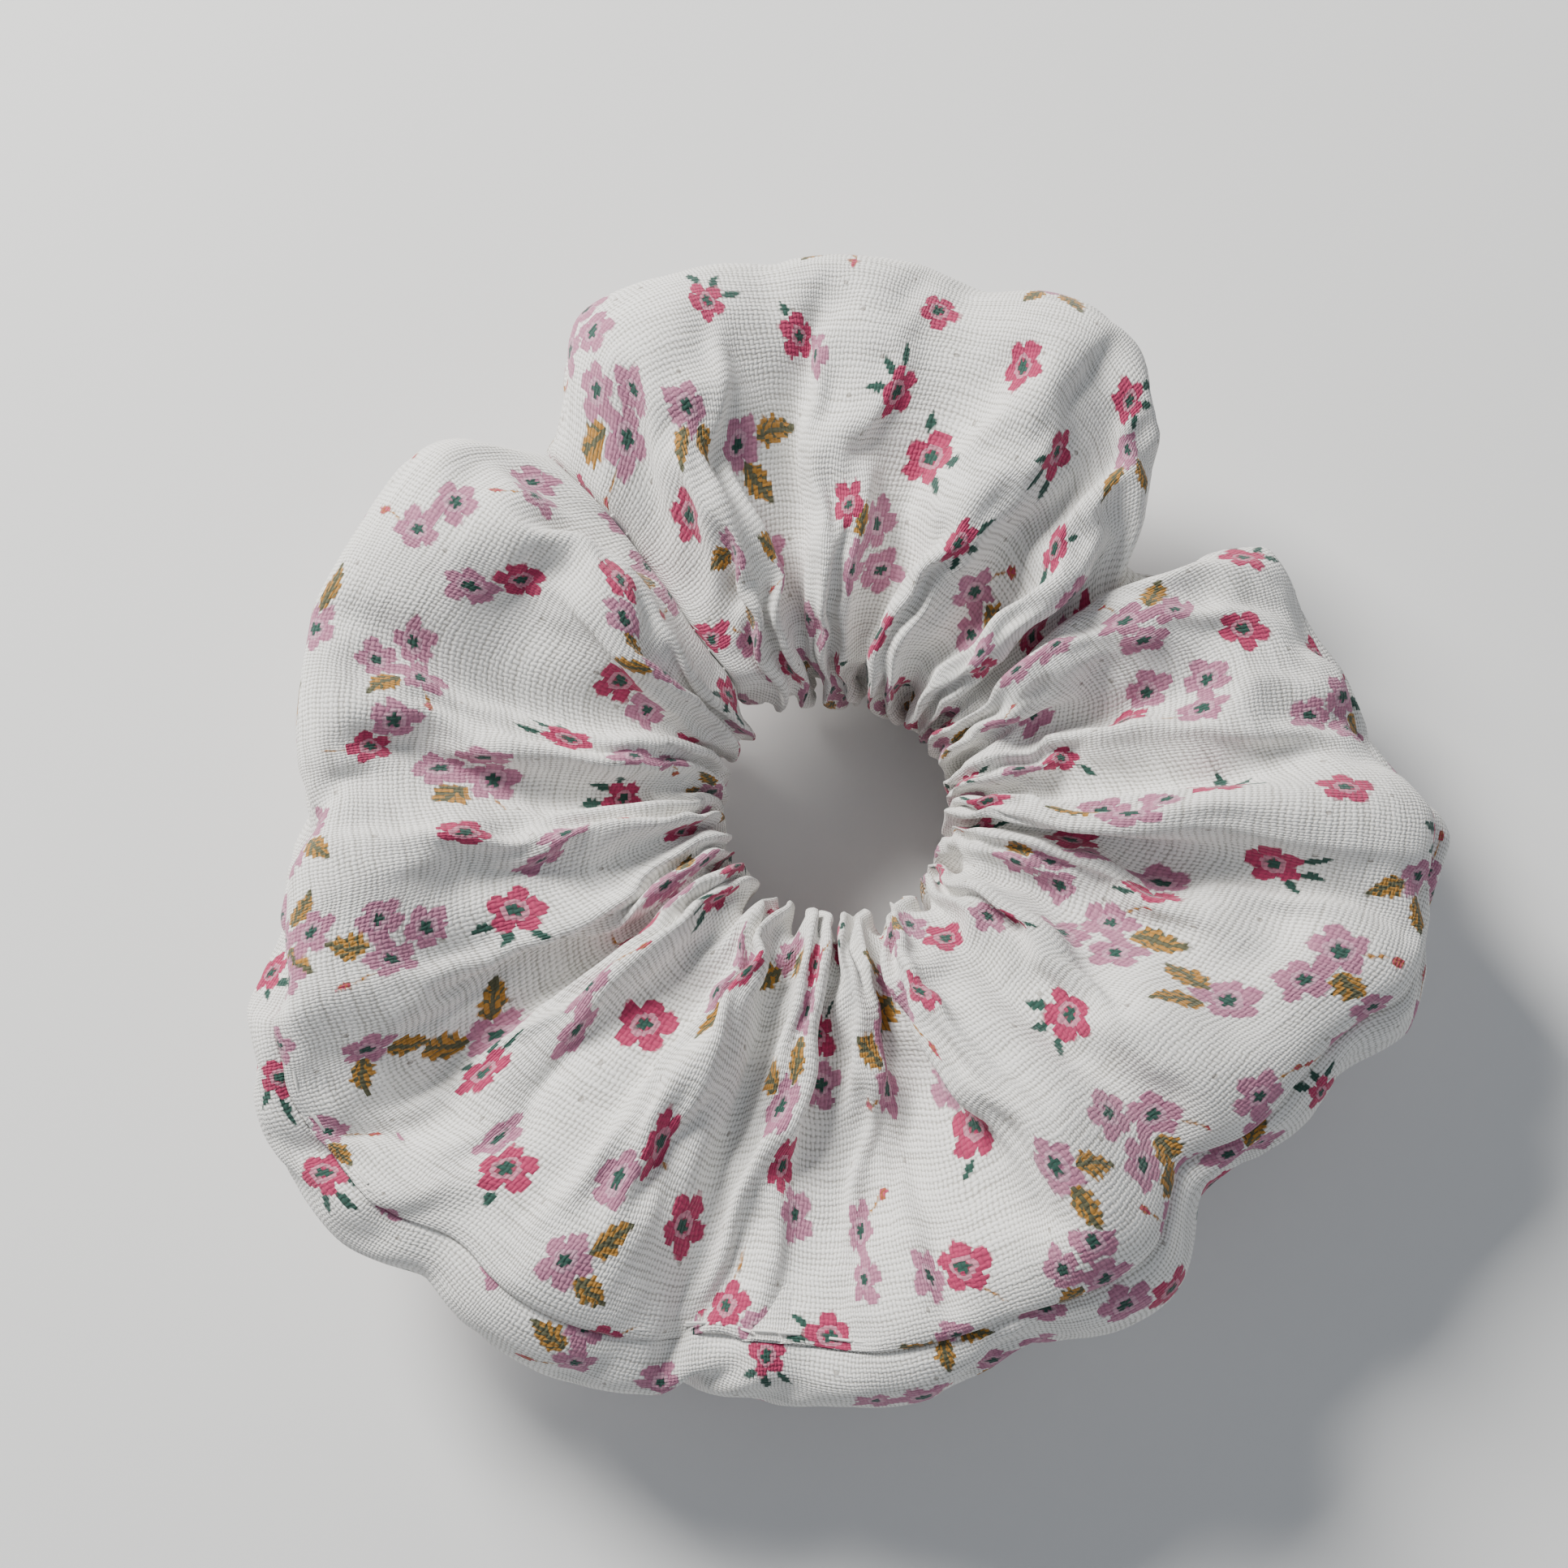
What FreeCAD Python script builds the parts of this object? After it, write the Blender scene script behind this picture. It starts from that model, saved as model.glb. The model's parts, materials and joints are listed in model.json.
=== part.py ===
"""Gathered cloth hair tie (scrunchie) as a FreeCAD document, in millimetres, +Z up.

One printed cotton strip is folded lengthwise, sewn along its long edges into a tube, turned right side out and
gathered over a loop of flat elastic. The ring lies flat: its axis is Z, and the origin is the centre of its
underside. The casing is one cloth tube, cut here at the plane x = 0 into two halves that can be pulled apart.
"""

import FreeCAD, Part  # noqa: E401, I001  (FreeCAD has to come first)
import math
import os

import Sketcher

PARTS_FOLDER = "parts"

# Driving dimensions: alias, value in millimetres (degrees where the name says angle), what it is.
SIZES = (
    ("overall_diameter", 118.0, "outside of the gathered casing"),
    ("hole_diameter", 23.0, "opening that the hair goes through, at rest"),
    ("casing_height", 30.0, "gathered casing, from its underside to its top"),
    ("grip_length", 8.0, "straight stretch of the opening's wall"),
    ("cloth_wall", 1.0, "one smooth wall in place of 0.45 mm cloth in its gathers"),
    ("seam_allowance", 7.0, "raw edges inside the long seam"),
    ("allowance_thickness", 0.8, "two plies of cloth"),
    ("seam_inset", 2.0, "long seam's stitches, in from the casing's inside"),
    ("closing_angle", 129.0, "where the tube's ends meet, from +X"),
    ("band_clearance", 4.0, "between the elastic and the cloth of the opening's wall, where the gathers lie"),
    ("band_width", 6.0, "flat elastic"),
    ("band_thickness", 1.0, "flat elastic"),
    ("band_ply_gap", 0.05, "between the elastic's lapped ends"),
    ("lap_angle", 40.0, "how far round the elastic's ends lap"),
    ("lap_start_angle", 180.0, "where the lap begins, from +X"),
    ("thread_diameter", 0.3, "polyester sewing thread"),
    ("thread_clearance", 0.05, "between a thread and the cloth or elastic beside it"),
    ("tack_margin", 0.8, "bar tacks, in from each edge of the elastic"),
    ("tack_step_angle", 2.6, "from one bar-tack stitch to the next"),
)
TACK_STITCHES = 5  # stitches in each bar tack
TACK_SLANT_DEG = 12.0  # how far a bar-tack stitch leans
HALF_TURN = 180.0

# The inside of the elastic loop, and the length of a bar-tack stitch, as the spreadsheet's values give them.
LOOP_RADIUS = "(sizes.hole_diameter / 2 + sizes.cloth_wall + sizes.band_clearance)"
TACK_LENGTH = f"((sizes.band_width - 2 * sizes.tack_margin) / cos({TACK_SLANT_DEG} deg))"

# Ends and centre of a sketch element, as Sketcher numbers them.
START, END, CENTRE = 1, 2, 3
H_AXIS = -1
ORIGIN = (-1, START)


def make_sheet(doc):
    """The spreadsheet of driving dimensions."""
    sheet = doc.addObject("Spreadsheet::Sheet", "sizes")
    for row, (alias, value, note) in enumerate(SIZES, start=1):
        sheet.set(f"A{row}", alias)
        sheet.set(f"B{row}", str(value))
        sheet.set(f"C{row}", note)
        sheet.setAlias(f"B{row}", alias)
    doc.recompute()
    return sheet


def new_body(doc, label):
    body = doc.addObject("PartDesign::Body", label)
    body.Label = label
    return body


def new_sketch(body, name, role):
    """A sketch on one of the body's own origin planes, such as XY_Plane."""
    sketch = body.newObject("Sketcher::SketchObject", name)
    plane = next(feature for feature in body.Origin.OriginFeatures if feature.Role == role)
    sketch.AttachmentSupport = (plane, [""])
    sketch.MapMode = "FlatFace"
    return sketch


def point(x, y):
    return FreeCAD.Vector(x, y, 0)


def add_line(sketch, start, end):
    return sketch.addGeometry(Part.LineSegment(point(*start), point(*end)), False)


def add_arc(sketch, centre, radius, first_deg, last_deg):
    """An arc that runs anticlockwise from first_deg to last_deg."""
    circle = Part.Circle(point(*centre), FreeCAD.Vector(0, 0, 1), radius)
    arc = Part.ArcOfCircle(circle, math.radians(first_deg), math.radians(last_deg))
    return sketch.addGeometry(arc, False)


def constrain(sketch, kind, *places):
    sketch.addConstraint(Sketcher.Constraint(kind, *places))


def bind(sketch, name, expression, kind, *places):
    """A dimension whose value the spreadsheet drives."""
    index = sketch.addConstraint(Sketcher.Constraint(kind, *places))
    sketch.renameConstraint(index, name)
    sketch.setExpression(f"Constraints.{name}", expression)


def casing_section(sketch, size):
    """The casing's outside, in the plane through its axis: straight grip wall, flat top and foot, round nose."""
    hole_radius = size("hole_diameter") / 2
    nose_radius = size("casing_height") / 2
    corner = (size("casing_height") - size("grip_length")) / 2
    corner_x = hole_radius + corner
    nose_x = size("overall_diameter") / 2 - nose_radius
    low, high, top = corner, corner + size("grip_length"), size("casing_height")

    wall = add_line(sketch, (hole_radius, low), (hole_radius, high))
    upper_corner = add_arc(sketch, (corner_x, high), corner, 90, 180)
    top_line = add_line(sketch, (corner_x, top), (nose_x, top))
    nose = add_arc(sketch, (nose_x, nose_radius), nose_radius, -90, 90)
    foot_line = add_line(sketch, (corner_x, 0), (nose_x, 0))
    lower_corner = add_arc(sketch, (corner_x, low), corner, 180, 270)

    constrain(sketch, "Tangent", wall, END, upper_corner, END)
    constrain(sketch, "Tangent", upper_corner, START, top_line, START)
    constrain(sketch, "Tangent", top_line, END, nose, END)
    constrain(sketch, "Tangent", nose, START, foot_line, END)
    constrain(sketch, "Tangent", foot_line, START, lower_corner, END)
    constrain(sketch, "Tangent", lower_corner, START, wall, START)
    constrain(sketch, "Vertical", wall)
    constrain(sketch, "Horizontal", top_line)
    constrain(sketch, "Horizontal", foot_line)
    constrain(sketch, "Equal", upper_corner, lower_corner)
    constrain(sketch, "PointOnObject", foot_line, START, H_AXIS)
    bind(sketch, "hole_radius", "sizes.hole_diameter / 2", "DistanceX", *ORIGIN, wall, START, hole_radius)
    bind(sketch, "grip", "sizes.grip_length", "DistanceY", wall, START, wall, END, size("grip_length"))
    bind(sketch, "height", "sizes.casing_height", "DistanceY", foot_line, END, top_line, END, top)
    nose_centre = "(sizes.overall_diameter - sizes.casing_height) / 2"
    bind(sketch, "nose_centre", nose_centre, "DistanceX", *ORIGIN, nose, CENTRE, nose_x)
    return wall, upper_corner, nose, lower_corner


def casing_inside(sketch, size, outside):
    """The casing's inside, one cloth wall in, with the seam allowance standing in from the nose as a fin."""
    outer_wall, outer_upper, outer_nose, outer_lower = outside
    cloth = size("cloth_wall")
    hole_radius = size("hole_diameter") / 2
    middle = size("casing_height") / 2
    corner = (size("casing_height") - size("grip_length")) / 2
    corner_x = hole_radius + corner
    nose_x = size("overall_diameter") / 2 - middle
    nose_radius = middle - cloth
    low, high, top = corner, corner + size("grip_length"), size("casing_height") - cloth
    half_fin = size("allowance_thickness") / 2
    fin_root = nose_x + math.sqrt(nose_radius**2 - half_fin**2)
    fin_tip = nose_x + nose_radius - size("seam_allowance")
    fin_deg = math.degrees(math.asin(half_fin / nose_radius))

    wall = add_line(sketch, (hole_radius + cloth, low), (hole_radius + cloth, high))
    upper_corner = add_arc(sketch, (corner_x, high), corner - cloth, 90, 180)
    top_line = add_line(sketch, (corner_x, top), (nose_x, top))
    upper_nose = add_arc(sketch, (nose_x, middle), nose_radius, fin_deg, 90)
    fin_top = add_line(sketch, (fin_root, middle + half_fin), (fin_tip, middle + half_fin))
    fin_end = add_line(sketch, (fin_tip, middle + half_fin), (fin_tip, middle - half_fin))
    fin_foot = add_line(sketch, (fin_tip, middle - half_fin), (fin_root, middle - half_fin))
    lower_nose = add_arc(sketch, (nose_x, middle), nose_radius, -90, -fin_deg)
    foot_line = add_line(sketch, (corner_x, cloth), (nose_x, cloth))
    lower_corner = add_arc(sketch, (corner_x, low), corner - cloth, 180, 270)

    for arc, outer in (
        (upper_corner, outer_upper),
        (upper_nose, outer_nose),
        (lower_nose, outer_nose),
        (lower_corner, outer_lower),
    ):
        constrain(sketch, "Coincident", arc, CENTRE, outer, CENTRE)
    constrain(sketch, "Tangent", wall, END, upper_corner, END)
    constrain(sketch, "Tangent", upper_corner, START, top_line, START)
    constrain(sketch, "Tangent", top_line, END, upper_nose, END)
    constrain(sketch, "Coincident", upper_nose, START, fin_top, START)
    constrain(sketch, "Coincident", fin_top, END, fin_end, START)
    constrain(sketch, "Coincident", fin_end, END, fin_foot, START)
    constrain(sketch, "Coincident", fin_foot, END, lower_nose, END)
    constrain(sketch, "Tangent", lower_nose, START, foot_line, END)
    constrain(sketch, "Tangent", foot_line, START, lower_corner, END)
    constrain(sketch, "Tangent", lower_corner, START, wall, START)
    constrain(sketch, "Vertical", wall)
    constrain(sketch, "Vertical", fin_end)
    for level in (top_line, fin_top, fin_foot, foot_line):
        constrain(sketch, "Horizontal", level)
    bind(sketch, "cloth", "sizes.cloth_wall", "DistanceX", outer_wall, START, wall, START, cloth)
    tip = "sizes.overall_diameter / 2 - sizes.cloth_wall - sizes.seam_allowance"
    bind(sketch, "fin_tip", tip, "DistanceX", *ORIGIN, fin_end, END, fin_tip)
    ply = "sizes.allowance_thickness"
    bind(sketch, "fin_plies", ply, "DistanceY", fin_end, END, fin_end, START, 2 * half_fin)
    fin_level = "(sizes.casing_height - sizes.allowance_thickness) / 2"
    bind(sketch, "fin_level", fin_level, "DistanceY", *ORIGIN, fin_end, END, middle - half_fin)


def make_cover_half(doc, size, label, on_the_right):
    """Half of the gathered cloth casing, hollow, revolved from its section in the plane x = 0."""
    body = new_body(doc, label)
    sketch = new_sketch(body, f"{label}_section", "YZ_Plane")
    casing_inside(sketch, size, casing_section(sketch, size))
    half = body.newObject("PartDesign::Revolution", f"{label}_revolution")
    half.Profile = sketch
    half.ReferenceAxis = (sketch, ["V_Axis"])
    half.Angle = HALF_TURN
    half.Reversed = on_the_right
    sketch.Visibility = False
    return body


def make_elastic_band(doc, size):
    """Flat elastic bent to a loop, its far end lapped over the outside of its near end.

    The loop is drawn with the lap starting on +X. A half circle centred half a step off the axis leads the
    band out by one thickness, so that its far end comes round outside its near one.
    """
    label = "elastic_band"
    body = new_body(doc, label)
    sketch = new_sketch(body, f"{label}_outline", "XY_Plane")
    inside = size("hole_diameter") / 2 + size("cloth_wall") + size("band_clearance")
    thick = size("band_thickness")
    step = thick + size("band_ply_gap")
    lap = size("lap_angle")

    near_in = add_arc(sketch, (0, 0), inside, 0, 180)
    lead_in = add_arc(sketch, (step / 2, 0), inside + step / 2, 180, 360)
    lap_in = add_arc(sketch, (0, 0), inside + step, 0, lap)
    near_out = add_arc(sketch, (0, 0), inside + thick, 0, 180)
    lead_out = add_arc(sketch, (step / 2, 0), inside + step / 2 + thick, 180, 360)
    lap_out = add_arc(sketch, (0, 0), inside + step + thick, 0, lap)
    near_end = add_line(sketch, (inside, 0), (inside + thick, 0))
    along = (math.cos(math.radians(lap)), math.sin(math.radians(lap)))
    far_ends = [tuple(reach * part for part in along) for reach in (inside + step, inside + step + thick)]
    far_end = add_line(sketch, *far_ends)

    for joint in (
        (near_end, START, near_in, START),
        (near_end, END, near_out, START),
        (near_in, END, lead_in, START),
        (lead_in, END, lap_in, START),
        (lap_in, END, far_end, START),
        (near_out, END, lead_out, START),
        (lead_out, END, lap_out, START),
        (lap_out, END, far_end, END),
    ):
        constrain(sketch, "Coincident", *joint)
    for arc in (near_in, lap_in, near_out, lap_out):
        constrain(sketch, "Coincident", arc, CENTRE, *ORIGIN)
        constrain(sketch, "PointOnObject", arc, START, H_AXIS)
    for arc in (near_in, near_out):
        constrain(sketch, "PointOnObject", arc, END, H_AXIS)
    for arc in (lead_in, lead_out):
        constrain(sketch, "PointOnObject", arc, CENTRE, H_AXIS)
    constrain(sketch, "PointOnObject", *ORIGIN, far_end)
    step_out = "sizes.band_thickness + sizes.band_ply_gap"
    bind(sketch, "loop_radius", LOOP_RADIUS, "Radius", near_in, inside)
    bind(sketch, "lap_radius", f"{LOOP_RADIUS} + {step_out}", "Radius", lap_in, inside + step)
    outer = f"{LOOP_RADIUS} + {step_out} + sizes.band_thickness"
    bind(sketch, "lap_outside", outer, "Radius", lap_out, inside + step + thick)
    bind(sketch, "thickness", "sizes.band_thickness", "DistanceX", near_end, START, near_end, END, thick)
    bind(sketch, "lap", "sizes.lap_angle", "Angle", far_end, math.radians(lap))

    band = body.newObject("PartDesign::Pad", f"{label}_pad")
    band.Profile = sketch
    band.setExpression("Length", "sizes.band_width")
    band.Midplane = True
    sketch.Visibility = False
    body.setExpression(".Placement.Base.z", "sizes.casing_height / 2")
    body.setExpression(".Placement.Rotation.Angle", "sizes.lap_start_angle")
    return body


def make_closing_thread(doc, size):
    """Ladder stitching inside the closing seam: one thread round the inside of the casing, from above the
    seam allowance, past the opening's wall, to below it. The upper half is drawn, and mirrored at mid-height.
    """
    label = "closing_seam_thread"
    body = new_body(doc, label)
    inset = size("cloth_wall") + size("thread_clearance") + size("thread_diameter") / 2
    middle = size("casing_height") / 2
    wall_x = size("hole_diameter") / 2 + inset
    grip = size("grip_length") / 2
    corner = middle - grip
    corner_x = size("hole_diameter") / 2 + corner
    nose_x = size("overall_diameter") / 2 - middle
    nose_radius = middle - inset
    stop = size("allowance_thickness") / 2 + size("thread_diameter")
    stop_deg = math.degrees(math.asin(stop / nose_radius))

    path = new_sketch(body, f"{label}_path", "XZ_Plane")
    wall = add_line(path, (wall_x, 0), (wall_x, grip))
    bend = add_arc(path, (corner_x, grip), corner - inset, 90, 180)
    top_line = add_line(path, (corner_x, middle - inset), (nose_x, middle - inset))
    nose = add_arc(path, (nose_x, 0), nose_radius, stop_deg, 90)
    constrain(path, "Tangent", wall, END, bend, END)
    constrain(path, "Tangent", bend, START, top_line, START)
    constrain(path, "Tangent", top_line, END, nose, END)
    constrain(path, "Vertical", wall)
    constrain(path, "Horizontal", top_line)
    constrain(path, "PointOnObject", wall, START, H_AXIS)
    constrain(path, "PointOnObject", nose, CENTRE, H_AXIS)
    depth = "sizes.cloth_wall + sizes.thread_clearance + sizes.thread_diameter / 2"
    wall_place = f"sizes.hole_diameter / 2 + {depth}"
    bind(path, "wall_x", wall_place, "DistanceX", *ORIGIN, wall, START, wall_x)
    bind(path, "grip", "sizes.grip_length / 2", "DistanceY", wall, START, wall, END, grip)
    top_place = f"sizes.casing_height / 2 - ({depth})"
    bind(path, "top", top_place, "DistanceY", *ORIGIN, top_line, START, middle - inset)
    nose_centre = "(sizes.overall_diameter - sizes.casing_height) / 2"
    bind(path, "nose_centre", nose_centre, "DistanceX", *ORIGIN, nose, CENTRE, nose_x)
    stop_place = "sizes.allowance_thickness / 2 + sizes.thread_diameter"
    bind(path, "stop", stop_place, "DistanceY", *ORIGIN, nose, START, stop)

    strand = new_sketch(body, f"{label}_strand", "XY_Plane")
    round_thread = Part.Circle(point(wall_x, 0), FreeCAD.Vector(0, 0, 1), size("thread_diameter") / 2)
    ring = strand.addGeometry(round_thread, False)
    constrain(strand, "PointOnObject", ring, CENTRE, H_AXIS)
    bind(strand, "wall_x", wall_place, "DistanceX", *ORIGIN, ring, CENTRE, wall_x)
    bind(strand, "thread", "sizes.thread_diameter", "Diameter", ring, size("thread_diameter"))

    upper = body.newObject("PartDesign::AdditivePipe", f"{label}_upper")
    upper.Profile = strand
    upper.Spine = (path, [""])
    lower = body.newObject("PartDesign::Mirrored", f"{label}_lower")
    lower.Originals = [upper]
    plane = next(feature for feature in body.Origin.OriginFeatures if feature.Role == "XY_Plane")
    lower.MirrorPlane = (plane, [""])
    body.Tip = lower
    path.Visibility = strand.Visibility = False
    body.setExpression(".Placement.Base.z", "sizes.casing_height / 2")
    body.setExpression(".Placement.Rotation.Angle", "sizes.closing_angle")
    return body


def group(doc, label, members):
    """Separate solids of one kind, kept as one node."""
    compound = doc.addObject("Part::Compound", label)
    compound.Label = label
    compound.Links = members
    return compound


def make_long_seam_thread(doc):
    """The long seam's lockstitch: needle thread above the seam allowance, bobbin thread below it."""
    label = "long_seam_thread"
    rings = []
    for name, side in (("needle", "+"), ("bobbin", "-")):
        ring = doc.addObject("Part::Torus", f"{label}_{name}")
        inset = "sizes.overall_diameter / 2 - sizes.cloth_wall - sizes.seam_inset"
        ring.setExpression("Radius1", inset)
        ring.setExpression("Radius2", "sizes.thread_diameter / 2")
        off_middle = "(sizes.allowance_thickness + sizes.thread_diameter) / 2 + sizes.thread_clearance"
        ring.setExpression(".Placement.Base.z", f"sizes.casing_height / 2 {side} ({off_middle})")
        rings.append(ring)
    return group(doc, label, rings)


def make_elastic_join_thread(doc):
    """Two bar tacks that hold the elastic's lapped ends, each seen on the inside and outside of the loop."""
    label = "elastic_join_thread"
    off_face = "sizes.thread_diameter / 2 + sizes.thread_clearance"
    faces = {
        "inside": f"({LOOP_RADIUS} - ({off_face}))",
        "outside": f"({LOOP_RADIUS} + 2 * sizes.band_thickness + sizes.band_ply_gap + {off_face})",
    }
    run = f"{TACK_STITCHES - 1} * sizes.tack_step_angle"
    firsts = {
        "near": "sizes.lap_start_angle + sizes.tack_step_angle",
        "far": f"sizes.lap_start_angle + sizes.lap_angle - sizes.tack_step_angle - {run}",
    }
    stitches = []
    for face, reach in faces.items():
        for end, first in firsts.items():
            for number in range(TACK_STITCHES):
                turn = f"({first} + {number} * sizes.tack_step_angle)"
                stitches.append(tack_stitch(doc, f"{label}_{face}_{end}_{number + 1}", reach, turn))
    return group(doc, label, stitches)


def tack_stitch(doc, name, reach, turn):
    """One slanted stitch on a face of the elastic, at the given distance from the axis and angle from +X."""
    stitch = doc.addObject("Part::Cylinder", name)
    stitch.setExpression("Radius", "sizes.thread_diameter / 2")
    stitch.setExpression("Height", TACK_LENGTH)
    aside = f"{TACK_LENGTH} / 2 * sin({TACK_SLANT_DEG} deg)"
    foot = "sizes.casing_height / 2 - sizes.band_width / 2 + sizes.tack_margin"
    slanted = f"placement(vector({reach}; {aside}; {foot}); rotation(vector(1; 0; 0); {TACK_SLANT_DEG}))"
    around = f"placement(vector(0; 0; 0); rotation(vector(0; 0; 1); {turn}))"
    stitch.setExpression("Placement", f"{around} * {slanted}")
    return stitch


def check(doc, nodes):
    """Stops if any object failed to compute, or a node's shape is empty or broken."""
    failed = [o.Name for o in doc.Objects if {"Invalid", "Error"} & set(o.State)]
    if failed:
        raise RuntimeError(f"these objects failed: {failed}")
    for node in nodes:
        if node.Shape.isNull() or not node.Shape.isValid() or not node.Shape.Solids:
            raise RuntimeError(f"{node.Label} has no valid solid")


def main():
    doc = FreeCAD.newDocument("scrunchie")
    sheet = make_sheet(doc)

    def size(alias):
        return float(sheet.get(alias))

    nodes = [
        make_cover_half(doc, size, "cover_left_half", on_the_right=False),
        make_cover_half(doc, size, "cover_right_half", on_the_right=True),
        make_elastic_band(doc, size),
        make_elastic_join_thread(doc),
        make_long_seam_thread(doc),
        make_closing_thread(doc, size),
    ]
    doc.recompute()
    check(doc, nodes)
    os.makedirs(PARTS_FOLDER, exist_ok=True)
    for node in nodes:
        node.Shape.exportStep(os.path.join(PARTS_FOLDER, f"{node.Label}.step"))
        box = node.Shape.BoundBox
        print(
            f"{node.Label}: {len(node.Shape.Solids)} solids, {node.Shape.Volume:.1f} mm3, "
            f"x {box.XMin:.2f} to {box.XMax:.2f}, y {box.YMin:.2f} to {box.YMax:.2f}, "
            f"z {box.ZMin:.2f} to {box.ZMax:.2f}"
        )


main()
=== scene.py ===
"""A scrunchie: a tube of printed cotton muslin gathered over a sewn loop of flat elastic, lying on a floor."""

import json
import math

import bpy
import numpy as np
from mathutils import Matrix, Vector


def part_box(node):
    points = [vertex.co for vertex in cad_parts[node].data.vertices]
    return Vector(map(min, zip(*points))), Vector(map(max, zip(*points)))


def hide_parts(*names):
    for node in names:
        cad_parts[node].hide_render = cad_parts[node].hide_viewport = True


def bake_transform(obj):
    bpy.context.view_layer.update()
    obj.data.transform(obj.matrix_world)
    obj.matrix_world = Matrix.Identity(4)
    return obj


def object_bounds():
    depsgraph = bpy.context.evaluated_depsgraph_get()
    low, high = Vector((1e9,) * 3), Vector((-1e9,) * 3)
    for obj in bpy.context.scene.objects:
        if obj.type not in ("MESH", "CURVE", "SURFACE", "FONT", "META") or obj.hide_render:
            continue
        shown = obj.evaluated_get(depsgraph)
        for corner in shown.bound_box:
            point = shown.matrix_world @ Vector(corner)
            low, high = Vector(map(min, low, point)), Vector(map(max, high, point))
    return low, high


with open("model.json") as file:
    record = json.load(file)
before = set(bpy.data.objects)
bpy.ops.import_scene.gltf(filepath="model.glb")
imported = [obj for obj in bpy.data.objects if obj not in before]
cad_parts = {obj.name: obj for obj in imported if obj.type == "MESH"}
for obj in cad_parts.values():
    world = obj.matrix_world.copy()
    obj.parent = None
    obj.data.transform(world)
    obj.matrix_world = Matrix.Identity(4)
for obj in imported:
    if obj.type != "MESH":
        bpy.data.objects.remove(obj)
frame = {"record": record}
cad_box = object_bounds()

MM = 0.001

# The strip that the cover is cut from, in millimetres.
TUBE_LENGTH = 400.0             # along the ring, from end seam to end seam
TUBE_ROUND = 112.0              # round the casing, from long seam to long seam
SEAM_ALLOWANCE = 7.0
END_ALLOWANCE = 7.5
STRIP = (TUBE_ROUND + 2 * SEAM_ALLOWANCE, TUBE_LENGTH + 2 * END_ALLOWANCE)

# The cover's mesh: steps along the ring and round the casing.
ALONG, ROUND = ((240, 56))
SPARE = 0.08                    # how much the pleated cloth grows as it settles, which is what wrinkles it
SETTLING_FRAMES = 16            # steps of the cloth simulation
DRAWN_IN = 0.955                # the pleated ring's reach, as a share of the settled one's
FIN_ROWS = 4                    # rows in each seam allowance
SEAM_GAP = 0.12                 # between the two plies at the seam
SEAM_SINK = 0.7                 # how far the stitches pull the seam into the casing

# Where the frame puts the ring's parts, in millimetres.
HOLE_RADIUS = frame["record"]["mounts"][0]["dims"]["r_mm"]
MIDDLE = (cad_box[0][2] + cad_box[1][2]) / 2 / MM
BAND_LOW, BAND_HIGH = (Vector(corner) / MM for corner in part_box("elastic_band"))
LAP_STEP = -BAND_LOW.x - BAND_HIGH.x
BAND_THICKNESS = 1.0
THREAD = 0.3
STITCH_PITCH = 2.5              # from stitch to stitch along a seam
LOCKSTITCH = 2.2                # length of one stitch of the long seam
LADDER_STITCH = 1.6             # length of one stitch across the closing seam
LONG_SEAM_INSET = 2.2           # from the seam's line in to its stitches
CLOSING_SEAM_INSET = 1.8
TACK_STITCH = 4.4
TACK_STEP = 2.6                 # degrees from one stitch of a bar tack to the next
TACK_STITCHES = 5               # in each row of a bar tack

WEAVE_PITCH = 0.45              # from thread to thread; the real 0.4 is a little too fine to show
SPRAY_SPACING = 12.2            # from one spray of the print to the next

# The gathered folds, as they lie: crest angle in degrees, its reach from the middle and its rise,
# then the valley after it: its reach, and its depth from 0, none, to 1, down to the gathers.
FOLDS = (
    (12, 56, 12, 53.5, 0.35),
    (27, 53, 12, 37, 1.0),
    (50, 52, 14, 55, 0.25),
    (64, 58, 15, 55.5, 0.6),
    (90, 57, 13, 56.5, 0.5),
    (111, 59, 15, 45, 1.0),
    (146, 56, 15, 56.5, 0.4),
    (171, 57, 12, 55, 0.85),
    (188, 58.5, 12, 60, 0.4),
    (202, 63, 12, 64, 0.35),
    (219, 64, 13, 59.5, 0.45),
    (243, 62, 14, 60, 0.45),
    (265, 59, 12, 58.5, 0.35),
    (278, 60.5, 12, 59, 0.75),
    (303, 60, 15, 53, 0.9),
    (325, 57, 12, 58, 0.45),
    (340, 63, 12, 61, 0.45),
    (356, 62.5, 13, 57, 0.5),
)
AFTER_CLOSING_SEAM = 6          # the fold that the tube's end seam lies before


# ---------------------------------------------------------------- the gathered cover

def seam_turn(angle):
    """How far the long seam is rolled up from the rim, in radians: most at the ring's front."""
    return np.radians(18 + 14 * np.cos(np.radians(angle - 265)))


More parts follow.
